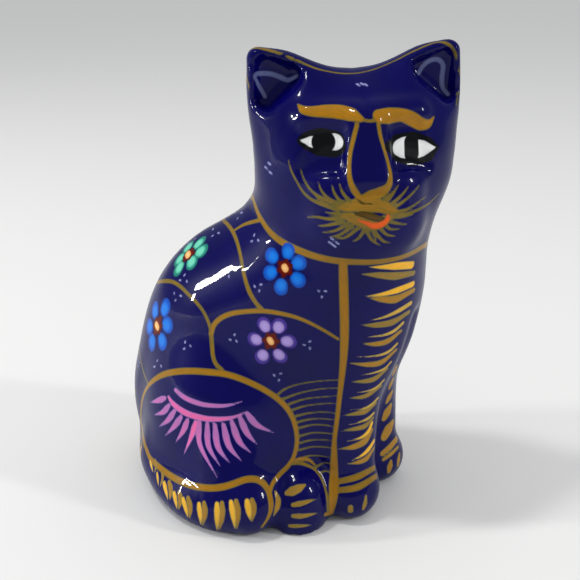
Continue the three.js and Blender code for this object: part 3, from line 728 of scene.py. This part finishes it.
for line, widths in BACK_LINES:
    stroke("gold", line, widths, BACK_LOAD, on=on_back)
stroke("gold", FAR_RING_FOOT, FAR_RING_WIDTHS, on=on_left)
petals = [(BACK_FLOWER[0] + PETAL_REACH * math.cos(a), BACK_FLOWER[1] + PETAL_REACH * math.sin(a))
          for a in np.arange(PETALS) * math.tau / PETALS]
flower("blue", BACK_FLOWER, petals, PETAL_WIDTH, on_back)
for i, (x, z) in enumerate(BACK_DABS):
    three_dabs(x, z, i * DAB_TURN, DAB_SPREAD_MM, on_back)
for i, (y, z) in enumerate(HEAD_DABS):
    three_dabs(y, z, i * DAB_TURN, DAB_SPREAD_MM, on_left)
for x, top, foot_x, foot in ROOT_LEAVES:
    line = [(x, top), ((x + foot_x) / 2, (top + foot) / 2), (foot_x, foot)]
    stroke("leaf", line, ROOT_WIDTHS, on=on_back)
for x in np.linspace(ROW_FROM, ROW_TO, ROW_LEAVES):
    stroke("leaf", [(x + aside, z) for aside, z in ROW_LEAF], ROW_LEAF_WIDTHS, on=on_back)
    stroke("straw", [(x + aside, z) for aside, z in ROW_STRAW], ROW_STRAW_WIDTHS, STRAW_LOAD,
           on=on_back)

# The paint on the glaze. The mesh is made finer beside the edges of the strokes, so that they come
# out crisp, and then each vertex takes its distance to the edge of every paint.

CRISP_MM = 0.7
BRISTLED = ("gold", "leaf", "straw", "pink")
settled_values, _ = stroke_values(lattice)
edge_near = np.zeros(len(lattice.vertices), bool)
for value in settled_values.values():
    edge_near |= np.abs(value) < CRISP_MM
bm = bmesh.new()
bm.from_mesh(lattice)
bm.verts.ensure_lookup_table()
fine = {e for f in bm.faces if any(edge_near[v.index] for v in f.verts) for e in f.edges}
bmesh.ops.subdivide_edges(bm, edges=sorted(fine, key=lambda e: e.index), cuts=1, use_grid_fill=True)
bmesh.ops.triangulate(bm, faces=bm.faces)
bm.to_mesh(lattice)
bm.free()
settle(lattice)
paint_values, paint_brush = stroke_values(lattice)
for name, value in paint_values.items():
    lattice.attributes.new(name, "FLOAT", "POINT").data.foreach_set("value", value.astype(np.float32))
for name in BRISTLED:
    flow = lattice.attributes.new(name + "_brush", "FLOAT_VECTOR", "POINT")
    flow.data.foreach_set("vector", paint_brush[name].astype(np.float32).ravel())
lattice.polygons.foreach_set("use_smooth", [True] * len(lattice.polygons))
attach(cat, "root")
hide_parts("cat")

# Cobalt glaze, a deep navy, under a clear gloss that reflects the room and wavers a little. The
# paints over it are opaque enamels: brushed ones show bristle marks and run from thin and dull to
# full and bright, and pressed ones are darker in their outer rim, where less paint is left.

glaze = bpy.data.materials.new("cobalt_glaze")
glaze.use_nodes = True
shader = glaze.node_tree.nodes["Principled BSDF"]
COBALT, COBALT_THIN = "#02013e", "#060354"
POOL_MM, WAVER_MM, WAVER_DEPTH_MM = 14, 9, 0.16
EDGE_MM, BRISTLED_RIM_MM, PRESSED_RIM_MM = 0.16, 0.55, 1.2
BRISTLES_PER_MM, STREAK_MM, BRISTLE_CONTRAST = 2.2, 4.5, 0.9
LOAD_SHIFT, POOL_DETAIL, STREAK_DETAIL, WAVER_DETAIL = 3, 3, 2, 1
RIPPLE_STRENGTH = 0.35
FACTOR, BELOW, ABOVE, MIXED = 0, 6, 7, 2
GLOSS = {"Roughness": 0.32, "IOR": 1.5, "Specular IOR Level": 0.03, "Coat Weight": 0.35,
         "Coat Roughness": 0.025, "Coat IOR": 1.45}
PAINTS = dict(
    gold=("#5e582a", "#a87008"), leaf=("#6e6838", "#b87a10"), straw=("#a08c46", "#f0b024"),
    ear_grey=("#4a5078", "#6870a0"), blue=("#053f98", "#0850b8"), sky=("#0a5cc0", "#1272d0"),
    purple=("#34207a", "#4a3690"), lilac=("#8874b2", "#a48fce"), teal=("#1a6a5e", "#267f70"),
    mint=("#48aa90", "#6cc6aa"), maroon=("#3c0604", "#640c06"), cream=("#d09050", "#ecc080"),
    dots=("#7d80b0", "#9a9cc6"), pink=("#8a66a6", "#e85f98"), black=("#05070a", "#05070a"),
    white=("#d3d7d6", "#e8eae8"), pupil=("#07090c", "#07090c"), mouth=("#3a3212", "#5c4216"),
    lip=("#d0541a", "#e85c18"))


def linear(colour):
    """A hex colour as the eye's sRGB, turned to the linear values that a shader takes."""
    parts = [int(colour[i:i + 2], 16) / 255 for i in (1, 3, 5)]
    return [c / 12.92 if c <= 0.04045 else ((c + 0.055) / 1.055) ** 2.4 for c in parts] + [1]


def add(kind, sockets, **settings):
    """Adds a node to the glaze. A socket is given a number, a colour or another node's output."""
    made = glaze.node_tree.nodes.new("ShaderNode" + kind)
    for name, value in settings.items():
        setattr(made, name, value)
    for socket, value in sockets.items():
        if isinstance(value, bpy.types.NodeSocket):
            glaze.node_tree.links.new(value, made.inputs[socket])
        else:
            made.inputs[socket].default_value = value
    return made


def painted(under, layer, thin, full):
    """The colour with one layer of paint over it, thin at its rim or where the brush ran dry."""
    edge = add("Attribute", {}, attribute_name=layer).outputs["Fac"]
    cover = {"Value": edge, "From Min": EDGE_MM, "From Max": -EDGE_MM}
    covered = add("MapRange", cover).outputs["Result"]
    rim = BRISTLED_RIM_MM if layer in BRISTLED else PRESSED_RIM_MM
    rich = add("MapRange", {"Value": edge, "From Min": 0, "From Max": -rim}).outputs["Result"]
    if layer in BRISTLED:
        flow = add("Attribute", {}, attribute_name=layer + "_brush").outputs["Vector"]
        load = add("SeparateXYZ", {"Vector": flow}).outputs["Z"]
        scale = (BRISTLES_PER_MM, 1 / STREAK_MM, LOAD_SHIFT)
        bristles = add("Mapping", {"Vector": flow, "Scale": scale}).outputs["Vector"]
        grain = {"Vector": bristles, "Scale": 1, "Detail": STREAK_DETAIL}
        streaks = add("TexNoise", grain).outputs["Fac"]
        swing = {"Value": streaks, "To Min": -BRISTLE_CONTRAST / 2, "To Max": BRISTLE_CONTRAST / 2}
        spread = add("MapRange", swing).outputs["Result"]
        laid = add("Math", {0: load, 1: spread}, operation="ADD", use_clamp=True).outputs["Value"]
        rich = add("Math", {0: rich, 1: laid}, operation="MULTIPLY").outputs["Value"]
    tone = add("Mix", {FACTOR: rich, BELOW: linear(thin), ABOVE: linear(full)}, data_type="RGBA")
    over = add("Mix", {FACTOR: covered, BELOW: under, ABOVE: tone.outputs[MIXED]}, data_type="RGBA")
    return over.outputs[MIXED]


place = add("TexCoord", {}).outputs["Object"]
pools = {"Vector": place, "Scale": 1 / (POOL_MM * MM), "Detail": POOL_DETAIL}
pooling = add("TexNoise", pools).outputs["Fac"]
cobalt = {FACTOR: pooling, BELOW: linear(COBALT), ABOVE: linear(COBALT_THIN)}
colour = add("Mix", cobalt, data_type="RGBA").outputs[MIXED]
for layer, tones in PAINTS.items():
    colour = painted(colour, layer, *tones)
wavers = {"Vector": place, "Scale": 1 / (WAVER_MM * MM), "Detail": WAVER_DETAIL}
waver = add("TexNoise", wavers).outputs["Fac"]
ripples = {"Height": waver, "Strength": RIPPLE_STRENGTH, "Distance": WAVER_DEPTH_MM * MM}
ripple = add("Bump", ripples).outputs["Normal"]
for socket, value in GLOSS.items():
    shader.inputs[socket].default_value = value
glaze.node_tree.links.new(colour, shader.inputs["Base Color"])
glaze.node_tree.links.new(ripple, shader.inputs["Normal"])
glaze.node_tree.links.new(ripple, shader.inputs["Coat Normal"])
lattice.materials.clear()
lattice.materials.append(glaze)

# The table and the light, in place of the photographed room: a plain pale floor, two windows
# behind the cat's right shoulder, one before its chest, a ceiling lamp, and a broad soft light
# overhead that isn't mirrored in the glaze.

FLOOR_HALF_SIDE = 9
PAPER, PAPER_ROUGHNESS = "#dededc", 0.8
CAT_CENTRE = Vector((0, 0, 0.09))
LIGHTS = dict(key_window=(-153.4, 15.8, 26, 1.5, (0.085, 0.19), 8),
              low_window=(-150.3, 7.5, 20, 1.5, (0.05, 0.12), 3),
              front_window=(5, 24, 0, 1.5, (0.1, 0.34), 7),
              ceiling_lamp=(-140, 68, 0, 1.3, (0.11, 0.18), 5))
OVERHEAD_POWER, OVERHEAD_SPREAD = 1.5, 150
ROOM, ROOM_STRENGTH = "#eef1f6", 0.3

bm = bmesh.new()
bmesh.ops.create_grid(bm, x_segments=1, y_segments=1, size=FLOOR_HALF_SIDE)
floor_mesh = bpy.data.meshes.new("floor")
bm.to_mesh(floor_mesh)
bm.free()
floor = bpy.data.objects.new("floor", floor_mesh)
bpy.context.scene.collection.objects.link(floor)
paper = bpy.data.materials.new("pale_floor")
paper.use_nodes = True
paper.node_tree.nodes["Principled BSDF"].inputs["Base Color"].default_value = linear(PAPER)
paper.node_tree.nodes["Principled BSDF"].inputs["Roughness"].default_value = PAPER_ROUGHNESS
floor_mesh.materials.append(paper)


def window(name, azimuth, elevation, roll, distance, size, power):
    """A rectangular soft light that faces the cat. Azimuth 0 is before its chest. Angles are in
    degrees, the distance and the size in metres."""
    light = bpy.data.lights.new(name, "AREA")
    light.shape, light.size, light.size_y = "RECTANGLE", *size
    light.energy = power
    a, e = math.radians(azimuth), math.radians(elevation)
    away = Vector((math.sin(a) * math.cos(e), -math.cos(a) * math.cos(e), math.sin(e)))
    lamp = bpy.data.objects.new(name, light)
    lamp.location = CAT_CENTRE + away * distance
    lamp.rotation_mode = "QUATERNION"
    spin = Matrix.Rotation(math.radians(roll), 3, "Z").to_quaternion()
    lamp.rotation_quaternion = away.to_track_quat("Z", "Y") @ spin
    bpy.context.scene.collection.objects.link(lamp)


for name, values in LIGHTS.items():
    window(name, *values)

overhead = bpy.data.lights.new("overhead", "SUN")
overhead.energy = OVERHEAD_POWER
overhead.angle = math.radians(OVERHEAD_SPREAD)
canopy = bpy.data.objects.new("overhead", overhead)
canopy.visible_glossy = False
bpy.context.scene.collection.objects.link(canopy)

world = bpy.data.worlds.new("studio")
bpy.context.scene.world = world
world.use_nodes = True
world.node_tree.nodes["Background"].inputs["Color"].default_value = linear(ROOM)
world.node_tree.nodes["Background"].inputs["Strength"].default_value = ROOM_STRENGTH
bpy.context.scene.view_settings.view_transform = "Standard"
